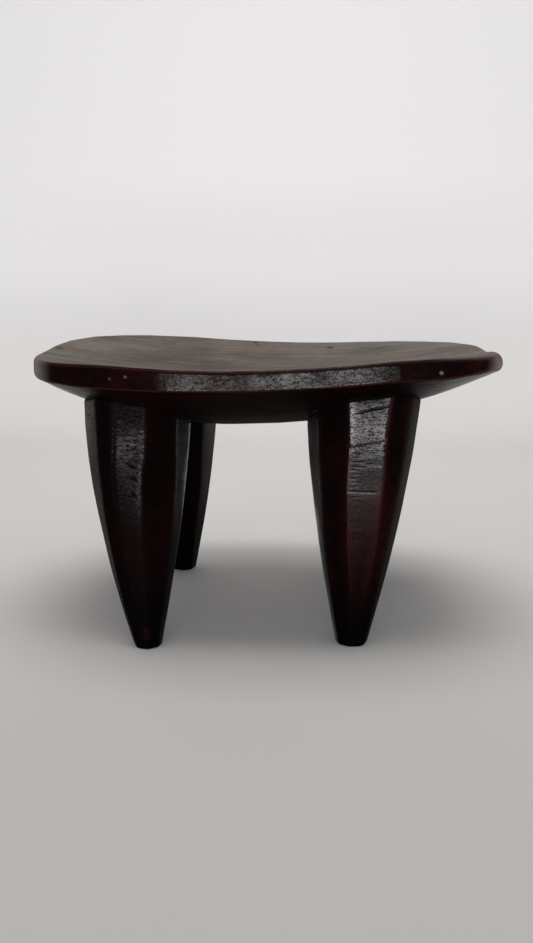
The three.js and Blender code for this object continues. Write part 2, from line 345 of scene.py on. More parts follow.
seatWear = {
    # how upright the normal stands where the top or the underside starts, and where it is full
    "topSlopes": (0.84, 0.975),
    "undersideSlopes": (0.45, 0.9),
    "topSpread": 0.5,  # at the right end the top starts on faces that are this much steeper
    # where an end starts, and where it is full, as shares of the half length
    "rightEnd": (0.5, 0.95),
    "leftNose": (0.83, 0.95),
    "rightNose": (0.87, 0.975),
    "rubbedSlopes": [(0.6, 0.25), (-0.5, 0.3)],  # the upper and lower edges: slope of the normal and spread
    # the rim is polished by use, most of all in front, right of the middle, and the underside towards its
    # ends: the first level, then where each change starts and is full, and how much it is
    "rimPolish": (0.075, [
        (-98 * mm, -84 * mm, 0.425), (-20 * mm, 40 * mm, 0.55), (75 * mm, 134 * mm, -0.85),
    ]),
    "undersidePolish": (0.02, [(0.5, 0.8, 0.9)]),
    "patches": (14 * mm, 0.4),  # of more and less polish: size and strength
    # the top is painted paler towards its edge, its ends and the right, and a little way onto the noses:
    # partly wear, partly a painted reflection of the pale wall
    "paleOutwards": (0.2, [(0.4, 0.95, 0.3)]),
    "paleToEnds": (0, [(0.6, 0.95, 0.35)]),
    "paleToRight": (0, [(-0.5, 0.5, 0.42)]),
    "paleNoses": 0.4,
    "leftNosePale": 0.85,
    "rimRed": 0.4,
    "rightEndRed": 0.6,
    "undersideRed": 0.05,
}


# How much each point is top, rim and underside, by smooth steps over its normal's slope, and how far it is
# into the left nose, the right nose and the right end, by smooth steps along the seat
def seatParts(grid, normals):
    u, slope = grid[..., 0] / halfLength, normals[..., 2]
    rightEnd = ease(u, *seatWear["rightEnd"])
    topStart, topFull = seatWear["topSlopes"]
    top = ease(slope, topStart - seatWear["topSpread"] * rightEnd, topFull)
    under = ease(-slope, *seatWear["undersideSlopes"])
    leftNose, rightNose = ease(-u, *seatWear["leftNose"]), ease(u, *seatWear["rightNose"])
    return top, 1 - top - under, under, leftNose, rightNose, rightEnd


# How far out each point goes along its normal: strokes and ripples, less a bell for each nick, and scores
# that are bells across a line and a sine along it. Also the painted shade: how dark the nicks, scores and
# flute bottoms are painted, as if shadowed.
def seatCuts(grid, normals, parts):
    top, rim, under, leftNose = parts[:4]
    x, y, upwards = grid[..., 0], grid[..., 1], normals[..., 2] > 0
    height = top * (strokes(grid, seatMarks["topStroke"], 3) + ripples(grid, seatMarks["topWave"], 5))
    height += rim * strokes(grid, seatMarks["rimStroke"], 7)
    height += rim * ease(rim, 0.5, 1) * ripples(grid, seatMarks["wrinkle"], 9)
    flutes = ripples(grid, seatMarks["flute"], 15)
    height += rim * leftNose * flutes
    height += under * strokes(grid, seatMarks["undersideStroke"], 11)
    # the flute bottoms are painted dark, as painted shade
    cutShade = seatMarks["darkness"] * rim * leftNose * ease(-flutes, *seatMarks["fluteDarkens"])
    for nickX, nickY, radius, depth in seatMarks["nicks"]:
        nick = bell(np.hypot(x - nickX, y - nickY), radius) * upwards
        height -= depth * nick
        cutShade = np.maximum(cutShade, nick)
    for *ends, width, depth in seatMarks["scores"]:
        part, away = nearLine(x, y, ends)
        score = bell(away, width) * np.sin(math.pi * (0.1 + 0.8 * part)) * upwards
        height -= depth * score
        cutShade = np.maximum(cutShade, seatMarks["darkness"] * score)
    return height, cutShade


# Where the seat is dull top, rubbed, polished, worn paler, red and pale-spotted: bells over the slope at
# the edges, smooth steps along the seat, and a bell for each pale spot. The paler top is partly wear and
# partly a painted reflection of the pale wall.
def seatSheen(grid, normals, parts):
    top, rim, under, leftNose, rightNose, rightEnd = parts
    x, u, v = grid[..., 0], grid[..., 0] / halfLength, grid[..., 1] / halfDepth
    rub = sum(bell(normals[..., 2] - slope, spread) for slope, spread in seatWear["rubbedSlopes"])
    size, strength = seatWear["patches"]
    patchy = 1 + strength * smoothNoise(grid, size, 13)
    polish = rim * stepped(x, *seatWear["rimPolish"]) * patchy
    polish += under * stepped(np.abs(u), *seatWear["undersidePolish"])
    # painted paler: wear, and a painted reflection of the pale wall
    wearAndSheen = stepped(np.hypot(u, v), *seatWear["paleOutwards"])
    wearAndSheen += stepped(np.abs(u), *seatWear["paleToEnds"]) + stepped(u, *seatWear["paleToRight"])
    wearAndSheen += seatWear["paleNoses"] * rim * (leftNose + rightNose)
    # the noses take the top's pale colour; at the right nose it is a painted highlight
    topFace = np.maximum(top, rim * (seatWear["leftNosePale"] * leftNose + rightNose))
    red = rim * (seatWear["rimRed"] + seatWear["rightEndRed"] * rightEnd)
    red += seatWear["undersideRed"] * under + rub
    # small pale spots on the rim
    paleSpot = np.zeros_like(x)
    for place, radius, pale in seatMarks["paleSpots"]:
        paleSpot = np.maximum(paleSpot, pale * bellAt(grid, place, radius))
    return {"topFace": topFace, "rub": rub, "polish": polish, "wearAndSheen": wearAndSheen, "red": red, "paleSpot": paleSpot}


# Carves the seat: each point of its rings goes along its normal by the height of the cuts
def carveSeat():
    grid = seatGrid()
    normals = gridNormals(grid)
    parts = seatParts(grid, normals)
    height, cutShade = seatCuts(grid, normals, parts)
    grid += normals * height[..., None]
    return closedBody("carved_seat", "seat", grid, {"cutShade": cutShade, **seatSheen(grid, normals, parts)})


carvedSeat = carveSeat()

print("stage 3: the legs")

legMarks = {
    "arris": 5 * mm,  # how far each edge between two facets is rubbed round
    "crown": 0.5 * mm,  # a facet stands this much proud in its middle
    "arrisDrop": 0.12,  # the rubbed edge lies this share of that width under the sharp one
    "footCrispness": 0.15,  # at the foot both are this share of what they are higher up
    "wander": 0.012,  # how far an edge strays from its line on its way down, as a share of a turn
    "wanderLength": 55 * mm,
    "footRound": 1.5 * mm,
    "fullWidthDrop": 8.5 * mm,  # a leg reaches its full width this far under the middle of the dish
    "bury": 1.2 * mm,  # a leg runs on this far into the seat
    "cornerReach": [1.08, 1.07, 1.09, 1.06, 1.08, 1.08, 1.07, 1.09, 1.07],
    "columnsPerFacet": 22,
    "rings": 400,
    "ringPower": 1.08,  # over 1 sets the rings closer towards the top
    "topSteps": 8,  # steps in which the top of a leg finds the underside
    # a stroke's size, its depth and the level in its bowl that stays where it was
    "stroke": (inMm(30, 30, 34), 0.34 * mm, 0.8),
    # ripples: the size of one and its depth
    "chatter": (inMm(14, 14, 3.2), 0.14 * mm),  # fine ridges level with the floor
    "bead": (inMm(2.6, 2.6, 2.6), 0.32 * mm),  # torn beads along the edges of the upper part
    "tear": (inMm(3, 3, 1.8), 0.128 * mm),  # and finer torn grain between them
    "tornBlend": 8 * mm,
    "smoothFoot": inMm(4, 20),  # the strokes start between these heights
    "patch": inMm(30, 30, 40),  # patches of more and of less chatter
    "patchEdge": (-0.2, 0.5),
    # the crisp cut round the top of each leg: depth, width and how far it lies under the seat
    "topCut": inMm(0.7, 0.9, 0.6),
    # painted shade: the cut round the top of a leg is painted wholly dark, and so is a single cut this deep
    "darkDepth": 1.4 * mm,  # a single cut this deep is wholly dark
    "frontFaces": (0.3, 0.6),  # how squarely a face looks forwards where single cuts start and are full
}

legWear = {
    "fades": (0.05, 0.65),  # some facets' polish fades between these shares of their width
    "fadedShare": 0.12,  # to this share of it
    "redHeights": inMm(25, 110),  # no red under the first, all of it over the second
    "patches": (inMm(24, 24, 50), 0.35),  # of more and less polish: size and strength
    "cornerPolish": 0.012,
    "highHeights": inMm(180, 225),  # where the upper part of a leg grows glossier
    # how much and how far: brighter beside a torn edge, duller under the seat, and rubbed beside any edge
    # of the lower part, which ends between these heights
    "tornGloss": (1.5, 5 * mm),
    "seatDulls": (0.4, 6 * mm),
    "rubbedBand": (0.7, 7 * mm),
    "lowerPart": inMm(140, 190),
    # how far the blade's fine marks break the gloss: everywhere, in patches, where torn, and both
    "marked": (0.45, 0.25, 0.8, 0.3),
}

# The four legs, no two alike: front left, front right, back left and back right
legShapes = {
    "side": (-1, 1, -1, 1),
    "end": (-1, -1, 1, 1),
    "endOverhang": inMm(66.5, 91.8, 80, 81),  # from the seat's end to the leg's outer face
    "edgeOverhang": inMm(46, 34, 38, 37),  # and from its long edge
    "width": inMm(106, 110, 104, 108),  # at the top
    "depth": inMm(92, 102, 98, 100),
    "foot": inMm(26, 30, 29, 28),  # width and depth at the floor
    "footIn": inMm(14.2, 9.5, 4, 5),  # the foot stands this far in along the seat
    "footOut": inMm(58.5, 34, 35, 36),  # and this far out across it
    "bow": inMm(3.4, 0, -0.8, 0.8),
    "taper": (1.8, 1.5, 1.45, 1.55),  # 1 is a straight cone, higher is a fuller barrel
    "glossFrom": inMm(110, 30, 60, 40),  # a leg is polished from these heights on
    "glossTo": inMm(200, 160, 190, 170),
    "highGloss": (2.2, 0, 0, 0),  # high up it is this many times glossier still
    "tornFrom": inMm(140, 207, 200, 190),  # its edges are torn by the blade from this height on
    "torn": (0.7, 0.8, 0.5, 0.6),
}

# Each facet's first corner, as a share of a turn from the right, how polished and how red it is, how much
# polish stays at its foot, and whose polish fades: 1 where it grows along the facet, -1 where it falls.
# Cuts, seen from the front and in mm: from and to as x and z, depth and width. Scuffs, where the oil has
# worn off: place and radius.
legFacets = {
    "leg_front_left": {
        "corners": [0.01, 0.125, 0.25, 0.375, 0.49, 0.635, 0.696, 0.784, 0.904],
        "polish": [0.28, 0.36, 0.28, 0.34, 0.09, 0.006, 0.045, 0.006, 1.0],
        "red": [0.2, 0.4, 0.3, 0.2, 0.1, 0.05, 0.15, 0.15, 0.1],
        "footPolish": [1, 1, 1, 1, 0.8, 0, 0, 0, 0.25],
        "fading": {8: 1},
        "cuts": [
            (-131, 193, -126, 188, 0.6, 0.8), (-128, 180, -122, 174, 0.6, 0.8),
            (-128, 163, -122, 157, 0.6, 0.8), (-124, 36, -117, 34, 0.3, 0.9),
            (-142, 148, -126, 150, 0.12, 1.0),
        ],
        "scuffs": [(inMm(-115.8, -149.9, 19), 3.5 * mm), (inMm(-115, -150, 13), 2.5 * mm)],
    },
    "leg_front_right": {
        "corners": [-0.005, 0.12, 0.245, 0.37, 0.495, 0.604, 0.711, 0.822, 0.888],
        "polish": [0.25, 0.36, 0.34, 0.28, 1.0, 0.006, 0.21, 0.012, 0.09],
        "red": [0.2, 0.4, 0.4, 0.3, 0.1, 0.3, 0.7, 0.4, 0.1],
        "footPolish": [1, 1, 1, 1, 0.7, 0, 0, 0, 0.8],
        "fading": {4: -1, 8: 1},
        "cuts": [
            (92, 243, 127, 250.5, 0.5, 0.9), (89, 209, 123, 216, 0.3, 0.8), (84, 214, 90, 208, 0.5, 1.0),
            (89, 203.5, 101, 202.5, 0.18, 0.7), (104, 204, 114, 203.5, 0.12, 0.6),
            (91, 199.5, 97, 199, 0.22, 0.7), (88, 195, 101, 194.5, 0.14, 0.6),
            (103, 193, 110, 193, 0.1, 0.6), (90, 190.5, 103, 189.5, 0.15, 0.7),
            (88, 187, 94, 186.5, 0.2, 0.6), (91, 183, 98, 182.5, 0.13, 0.6),
            (88, 178.5, 93, 178, 0.16, 0.6), (90, 174.5, 98, 174.5, 0.09, 0.6),
            (88, 170, 94, 170, 0.09, 0.6), (87, 165.5, 113, 164.5, 0.28, 0.8),
            (89, 159.5, 100, 160, 0.07, 0.7), (92, 155, 99, 155, 0.06, 0.7), (93, 66, 98, 65, 0.2, 1.2),
        ],
    },
    "leg_back_left": {
        "corners": [0.02, 0.13, 0.215, 0.3, 0.4, 0.505, 0.63, 0.75, 0.885],
        "polish": [0.28, 0.36, 0.34, 0.36, 0.25, 0.04, 0.022, 0.022, 0.3],
        "red": [0.3, 0.5, 0.4, 0.4, 0.2, 0.1, 0.1, 0.1, 0.1],
        "footPolish": [0.3, 0.3, 0.3, 0.3, 0.2, 0, 0, 0, 0.2],
        "fading": {8: 1},
    },
    "leg_back_right": {
        "corners": [-0.01, 0.105, 0.2, 0.285, 0.39, 0.5, 0.62, 0.755, 0.87],
        "polish": [0.28, 0.34, 0.36, 0.34, 0.25, 0.084, 0.022, 0.022, 0.14],
        "red": [0.3, 0.4, 0.5, 0.3, 0.2, 0.1, 0.1, 0.1, 0.1],
        "footPolish": [0.3, 0.3, 0.3, 0.3, 0.2, 0, 0, 0, 0.2],
        "fading": {4: -1},
    },
}


# A leg's side at given heights: a nine-sided section round a leaning centre line, whose half width falls
# from the top's to the foot's as 1 - (1 - share)^taper. Each column keeps its place on its facet, and the
# corners, which stray a little as they go down, are drawn in along a parabola so that the edges are round.
def legSide(leg, height):
    topX = leg["side"] * (halfLength - leg["endOverhang"] - leg["width"] / 2)
    topY = leg["end"] * (halfDepth - leg["edgeOverhang"] - leg["depth"] / 2)
    share = height / (seat["middleHeight"] - legMarks["fullWidthDrop"])
    centreX = topX - leg["side"] * (leg["footIn"] * (1 - share) - leg["bow"] * (1 - (2 * share - 1) ** 2))
    centreY = topY + leg["end"] * leg["footOut"] * (1 - share)
    fullness = 1 - np.clip(1 - share, 0, 1) ** leg["taper"]
    toe = np.clip(1 - height / legMarks["footRound"], 0, 1)
    inset = legMarks["footRound"] * (1 - np.sqrt(1 - toe * toe))
    halfX, halfY = (blend(leg["foot"], leg[size], fullness) / 2 - inset for size in ("width", "depth"))
    facets, perFacet = len(leg["corners"]), legMarks["columnsPerFacet"]
    facet = np.repeat(np.arange(facets), perFacet)
    part = np.tile((1 - np.cos(np.arange(perFacet) / perFacet * math.pi)) / 2, facets)

    # each corner of each leg reads the noise along its own line, 7.3 cells from the next corner's
    def corner(k):
        down = height / legMarks["wanderLength"]
        across = np.broadcast_arrays(down, k * 7.3 + leg["side"] * 3, leg["end"] * 5.0)
        stray = legMarks["wander"] * smoothNoise(np.stack(across, -1), 1, 41)
        angle = math.tau * (np.array(leg["corners"])[k] + stray)
        reach = np.array(legMarks["cornerReach"])[k]
        return np.cos(angle) * reach, np.sin(angle) * reach

    (fromX, fromY), (toX, toY) = corner(facet), corner((facet + 1) % facets)
    x, y = blend(fromX, toX, part), blend(fromY, toY, part)
    fromEdge = np.minimum(part, 1 - part) * np.hypot((toX - fromX) * halfX, (toY - fromY) * halfY)
    softness = blend(legMarks["footCrispness"], 1, fullness)
    arris = legMarks["arris"] * softness
    toCorner = np.clip(1 - fromEdge / arris, 0, 1)
    crown = legMarks["crown"] * softness * (1 - (1 - 2 * part) ** 2)
    pull = 1 - (legMarks["arrisDrop"] * arris * toCorner**2 - crown) / halfX
    side = np.stack([centreX + x * halfX * pull, centreY + y * halfY * pull, height], -1)
    return side, toCorner, fromEdge


# The height at which each column of a leg meets the underside, found by stepping to the surface's height
# over the column's own place until it settles
def legTop(leg, columns):
    height = np.full((1, columns), seat["middleHeight"] - legMarks["fullWidthDrop"])
    for _ in range(legMarks["topSteps"]):
        side = legSide(leg, height)[0]
        x, y = side[..., 0], side[..., 1]
        height = undersideHeight(x, y, edgeShareAt(x, y))
    return height


# How deep the single cuts are at each point: a bell across a cut's line, seen from the front, and deepest
# in the middle of its length, on the faces that look to the front
def frontCuts(leg, grid, normals):
    x, z = grid[..., 0] / mm, grid[..., 2] / mm
    depth = np.zeros_like(x)
    for *ends, deep, width in leg.get("cuts", []):
        part, away = nearLine(x, z, ends)
        depth = np.maximum(depth, deep * (0.4 + 0.6 * np.sin(part * math.pi)) * bell(away, width))
    return depth * ease(-normals[..., 1], *legMarks["frontFaces"]) * mm


# Where a leg is polished, rubbed and red: its facets' own values, which fade across some facets, by smooth
# steps over the height, with bells beside the edges and round the scuffs
def legSheen(leg, grid, toCorner, fromEdge, torn, below, seed):
    z, perFacet = grid[..., 2], legMarks["columnsPerFacet"]
    names = ("polish", "red", "footPolish")
    facetPolish, facetRed, kept = (np.repeat(leg[name], perFacet) for name in names)
    across = (np.arange(perFacet) + 0.5) / perFacet
    for facet, way in leg["fading"].items():
        fade = ease(across[::way], *legWear["fades"])
        columns = slice(facet * perFacet, (facet + 1) * perFacet)
        facetPolish[columns] *= blend(legWear["fadedShare"], 1, fade)
    size, strength = legWear["patches"]
    patchy = 1 + strength * smoothNoise(grid, size, seed + 4)
    polish = facetPolish * patchy + legWear["cornerPolish"] * toCorner
    polish *= 1 + leg["highGloss"] * ease(z, *legWear["highHeights"])
    much, reach = legWear["tornGloss"]
    polish += facetPolish * torn * much * bell(fromEdge, reach)
    polish *= blend(kept, 1, ease(z, leg["glossFrom"], leg["glossTo"]))
    much, reach = legWear["seatDulls"]
    polish *= 1 - much * np.exp(-below / reach)
    much, reach = legWear["rubbedBand"]
    rub = np.maximum(toCorner, much * bell(fromEdge, reach) * (1 - ease(z, *legWear["lowerPart"])))
    red = facetRed * ease(z, *legWear["redHeights"])
    for place, radius in leg.get("scuffs", []):
        scuff = bellAt(grid, place, radius)
        red, rub = np.maximum(red, scuff), np.maximum(rub, scuff)
    return {"rub": rub, "polish": polish, "red": red}


# Carves a leg: each point goes in along its normal by the strokes and chatter, by the bell of the cut round
# the top, by the single cuts, and by the torn beads and grain
def carveLeg(node, leg, seed):
    meets = legTop(leg, len(leg["corners"]) * legMarks["columnsPerFacet"])
    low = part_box(node)[0].z
    down = np.linspace(0, 1, legMarks["rings"])[:, None] ** legMarks["ringPower"]
    grid, toCorner, fromEdge = legSide(leg, low + (meets + legMarks["bury"] - low) * (1 - down))
    normals = gridNormals(grid)
    z, below = grid[..., 2], meets - grid[..., 2]
    stroke, chatter = strokes(grid, legMarks["stroke"], seed), ripples(grid, legMarks["chatter"], seed + 1)
    patches = ease(smoothNoise(grid, legMarks["patch"], seed + 3), *legMarks["patchEdge"])
    torn = leg["torn"] * ease((z - leg["tornFrom"]) / legMarks["tornBlend"], -1, 1)
    cutDepth, cutWidth, cutDrop = legMarks["topCut"]
    cut, depth = bell(below - cutDrop, cutWidth), frontCuts(leg, grid, normals)
    tears = torn * toCorner * ripples(grid, legMarks["bead"], seed + 6)
    tears += torn * ripples(grid, legMarks["tear"], seed + 7)
    carving = np.minimum(stroke + chatter * patches * (1 - toCorner), 0) * ease(z, *legMarks["smoothFoot"])
    carving += tears - cutDepth * cut - depth
    everywhere, inPatches, whereTorn, both = legWear["marked"]
    worked = everywhere + inPatches * patches + torn * (whereTorn + both * patches)
    marks = legSheen(leg, grid, toCorner, fromEdge, torn, below, seed)
    # painted shade in the cut round the top and in the single cuts
    marks["cutShade"], marks["worked"] = np.maximum(cut, depth / legMarks["darkDepth"]), np.clip(worked, 0, 1)
    grid += normals * carving[..., None]
    return closedBody(node.replace("leg", "carved_leg"), node, grid, marks)


carvedLegs = []
for place, (node, facets) in enumerate(legFacets.items()):
    shape = {name: values[place] for name, values in legShapes.items()}
    carvedLegs.append(carveLeg(node, {**facets, **shape}, 20 + 10 * place))

print("stage 4: the wood")


# Adds a node to a tree, with its settings, and its inputs as plain values or sockets to link
def addNode(tree, kind, inputs=None, **settings):
    node = tree.nodes.new(kind)
    for name, value in settings.items():
        setattr(node, name, value)
    for name, value in (inputs or {}).items():
        if isinstance(value, bpy.types.NodeSocket):
            tree.links.new(value, node.inputs[name])
        else:
            node.inputs[name].default_value = value
    return node


def maths(tree, operation, first, second, third=0.0, clamp=False):
    inputs = {0: first, 1: second, 2: third}
    return addNode(tree, "ShaderNodeMath", inputs, operation=operation, use_clamp=clamp).outputs[0]


# Multiplies values together, and clamps only what comes out
def times(tree, *values, clamp=False):
    product = values[0]
    for value in values[1:-1]:
        product = maths(tree, "MULTIPLY", product, value)
    return maths(tree, "MULTIPLY", product, values[-1], clamp=clamp)


def oneLess(tree, value):
    return maths(tree, "SUBTRACT", 1.0, value)


# Maps a value from one range to another, smoothly
def easeTo(tree, value, low, high, toLow=0.0, toHigh=1.0):
    inputs = {"Value": value, "From Min": low, "From Max": high, "To Min": toLow, "To Max": toHigh}
    return addNode(tree, "ShaderNodeMapRange", inputs, interpolation_type="SMOOTHSTEP").outputs[0]


# Mixes two values or colours. A Mix node has a row of sockets for each kind, so they go by number.
def mixValues(tree, factor, first, second):
    return addNode(tree, "ShaderNodeMix", {0: factor, 2: first, 3: second}, data_type="FLOAT").outputs[0]


def mixColours(tree, factor, first, second):
    return addNode(tree, "ShaderNodeMix", {0: factor, 6: first, 7: second}, data_type="RGBA").outputs[2]


# The place divided by a pattern's size along x, y and z
def stretch(tree, place, *size):
    whole = addNode(tree, "ShaderNodeCombineXYZ", dict(enumerate(size))).outputs[0]
    return addNode(tree, "ShaderNodeVectorMath", {0: place, 1: whole}, operation="DIVIDE").outputs[0]


def noise(tree, place, scale, detail, roughness, distortion):
    inputs = {"Vector": place, "Scale": scale, "Detail": detail, "Roughness": roughness}
    return addNode(tree, "ShaderNodeTexNoise", {**inputs, "Distortion": distortion}).outputs[0]


# A new node group, whose inputs are None for a place, a colour or a number
def newGroup(name, inputs, outputs):
    group = bpy.data.node_groups.new(name, "ShaderNodeTree")
    for socketName, value in inputs.items():
        kind = "Vector" if value is None else "Color" if isinstance(value, tuple) else "Float"
        socket = group.interface.new_socket(socketName, in_out="INPUT", socket_type="NodeSocket" + kind)
        if value is not None:
            socket.default_value = value
    for socketName in outputs:
        kind = "Color" if "Colour" in socketName else "Float"
        group.interface.new_socket(socketName, in_out="OUTPUT", socket_type="NodeSocket" + kind)
    return group, group.nodes.new("NodeGroupInput").outputs, group.nodes.new("NodeGroupOutput").inputs


grainLayers = {
    # noise: scale, detail, roughness and distortion
    "broad": (1.0, 4.0, 0.6, 0.6),
    "fine": (4.3, 3.0, 0.6, 0.3),
    "pores": (11.0, 2.0, 0.5, 0.0),
    "drift": (14.0, 3.0, 0.6, 0.0),
    "bands": (0.4, 2.0, 0.5, 0.0),
    "fineShare": 0.4,  # the rest of the streaks is broad
}
# where each output starts in its noise, and where it is full
grainLevels = {"Streaks": (0.34, 0.66), "Pores": (0.58, 0.72), "Drift": (0.35, 0.65), "Bands": (0.35, 0.65)}


# Grain that runs along the block: stretched noise for the streaks and the broader bands, short dark pores,
# and a slow drift between the redder and the blacker wood
def makeWoodGrain():
    size = {"Place": None, "Streak Length": 0.12, "Streak Width": 0.006}
    group, given, out = newGroup("woodGrain", size, grainLevels)
    width = given["Streak Width"]
    stretched = stretch(group, given["Place"], given["Streak Length"], width, width)
    layers = ("broad", "fine", "pores", "bands")
    broad, fine, pores, bands = (noise(group, stretched, *grainLayers[layer]) for layer in layers)
    fineShare = grainLayers["fineShare"]
    streaks = maths(group, "ADD", times(group, broad, 1 - fineShare), times(group, fine, fineShare))
    drift = noise(group, given["Place"], *grainLayers["drift"])
    for name, value in {"Streaks": streaks, "Pores": pores, "Drift": drift, "Bands": bands}.items():
        group.links.new(easeTo(group, value, *grainLevels[name]), out[name])
    return group


bladeLayers = {
    # noise: scale, detail, roughness and distortion
    "chatter": (1.0, 3.0, 0.55, 0.5),
    "torn": (2.1, 3.0, 0.65, 1.0),
    "tornLevels": (0.56, 0.66),  # where a torn speck starts in its noise, and where it is full
    "tornDepth": 0.35,
}


# Fine marks of the blade: chatter that lies across the stroke, and torn specks where the grain lifted
def makeBladeMarks():
    size = {"Place": None, "Mark Length": 0.012, "Mark Width": 0.002}
    group, given, out = newGroup("bladeMarks", size, ["Height"])
    length = given["Mark Length"]
    stretched = stretch(group, given["Place"], length, length, given["Mark Width"])
    chatter, torn = (noise(group, stretched, *bladeLayers[layer]) for layer in ("chatter", "torn"))
    specks = times(group, easeTo(group, torn, *bladeLayers["tornLevels"]), bladeLayers["tornDepth"])
    group.links.new(maths(group, "SUBTRACT", chatter, specks), out["Height"])
    return group


oil = {
    "rubbedShare": 0.45,  # how far a rubbed edge goes to its paler colour
    "poreDarkness": 0.75,
    # painted shade: the colour painted into cuts, nicks, scores and flutes
    "cutShadeColour": (0.001, 0.0005, 0.0005, 1),
    "shine": 1.15,  # between the streaks of the grain
    "streakDulling": 0.3,
    # the blade's marks: where they start and are full, and the gloss left in and between them
    "markLevels": (0.34, 0.58),
    "markGloss": (0.1, 1.8),
    "bareSheen": 0.012,
    "coatRoughness": 0.2,
}


# The wood's colour and sheen: deep brown, redder where it drifts and where edges are rubbed, blacker in the
# pores, and painted nearly black in the cuts as painted shade. The gloss of its oil is broken up by the
# marks of the blade.
def makeOiledWood():
    inputs = {
        "Streaks": 0.5, "Pores": 0.0, "Drift": 0.5, "Rub": 0.0, "Cut Shade": 0.0, "Polish": 0.5,
        "Deep Colour": (0.002, 0.001, 0.001, 1), "Red Colour": (0.01, 0.002, 0.002, 1),
        "Rubbed Colour": (0.02, 0.006, 0.006, 1), "Smooth": 0.18, "Rough": 0.6, "Marks": 0.5,
        "Marks Share": 1.0, "Most Gloss": 0.2, "Redness": 1.0,
    }
    group, given, out = newGroup("oiledWood", inputs, ["Colour", "Roughness", "Gloss"])
    mottled = times(group, given["Drift"], given["Streaks"], given["Redness"])
    colour = mixColours(group, mottled, given["Deep Colour"], given["Red Colour"])
    rubbed = times(group, given["Rub"], oil["rubbedShare"], given["Redness"])
    colour = mixColours(group, rubbed, colour, given["Rubbed Colour"])
    # darker in the pores of the grain, and painted shade in the cuts
    dark = maths(group, "MAXIMUM", times(group, given["Pores"], oil["poreDarkness"]), given["Cut Shade"])
    colour = mixColours(group, dark, colour, oil["cutShadeColour"])
    streaky = maths(group, "MULTIPLY_ADD", given["Streaks"], -oil["streakDulling"], oil["shine"])
    shine = times(group, given["Polish"], streaky, oneLess(group, dark), clamp=True)
    lines = easeTo(group, given["Marks"], *oil["markLevels"], *oil["markGloss"])
    broken = mixValues(group, given["Marks Share"], 1.0, lines)
    group.links.new(colour, out["Colour"])
    group.links.new(mixValues(group, shine, given["Rough"], given["Smooth"]), out["Roughness"])
    group.links.new(times(group, shine, broken, given["Most Gloss"], clamp=True), out["Gloss"])
    return group


woodGrain, bladeMarks, oiledWood = makeWoodGrain(), makeBladeMarks(), makeOiledWood()


# Places a group in a material with its own values
def useGroup(tree, group, inputs):
    return addNode(tree, "ShaderNodeGroup", inputs, node_tree=group).outputs


# A piece's grain, the height of its blade's marks, and what its oiled wood reads of the grain
def makeFigure(tree, place, bladePlace, finish):
    grain = useGroup(tree, woodGrain, {"Place": place, **finish["grain"]})
    marks = useGroup(tree, bladeMarks, {"Place": bladePlace, **finish["blade"]})["Height"]
    return grain, marks, {name: grain[name] for name in ("Streaks", "Pores", "Drift")}


def newMaterial(name):
    material = bpy.data.materials.new(name)
    material.use_nodes = True
    tree = material.node_tree
    shader = tree.nodes["Principled BSDF"]
    shader.inputs["Specular IOR Level"].default_value = oil["bareSheen"]
    shader.inputs["Coat Roughness"].default_value = oil["coatRoughness"]
    place = addNode(tree, "ShaderNodeTexCoord").outputs["Object"]
    return material, tree, shader, place


def readMarks(tree, *names):
    return [addNode(tree, "ShaderNodeAttribute", attribute_name=name).outputs["Fac"] for name in names]


# Links the finished colour, roughness and gloss to the shader, and the height through a bump
def linkShader(tree, shader, colour, roughness, gloss, height, finish):
    bump = {"Height": height, "Strength": finish["bumpStrength"], "Distance": finish["bumpDistance"]}
    tree.links.new(colour, shader.inputs["Base Color"])
    tree.links.new(roughness, shader.inputs["Roughness"])
    tree.links.new(gloss, shader.inputs["Coat Weight"])
    tree.links.new(addNode(tree, "ShaderNodeBump", bump).outputs[0], shader.inputs["Normal"])


seatFinish = {
    # the top's pale brown-grey colours: partly rubbed wood, partly a painted reflection of the pale wall
    "top": {
        "Deep Colour": (0.070, 0.060, 0.049, 1), "Red Colour": (0.180, 0.132, 0.114, 1),
        "Rubbed Colour": (0.25, 0.220, 0.197, 1), "Smooth": 0.42, "Rough": 0.52,
    },
    "rim": {
        "Deep Colour": (0.0010, 0.0004, 0.0004, 1), "Red Colour": (0.0160, 0.0018, 0.0022, 1),
        "Rubbed Colour": (0.040, 0.0120, 0.0115, 1), "Smooth": 0.2, "Rough": 0.6, "Most Gloss": 0.2,
        "Marks Share": 0.9,
    },
    "grain": {"Streak Length": 160 * mm, "Streak Width": 11 * mm},
    "blade": {"Mark Length": 2.5 * mm, "Mark Width": 1.3 * mm},
    "bladeTilt": 0.3,
    # the colour of the small pale spots on the rim
    "paleSpotColour": (0.62, 0.52, 0.47, 1),
    "leastWear": 0.7,  # how worn the darkest bands of the top are, and how much more the palest are
    "bandWear": 0.5,
    "grainHeight": 0.3,
    "bumpStrength": 0.8,
    "bumpDistance": 0.9 * mm,
}


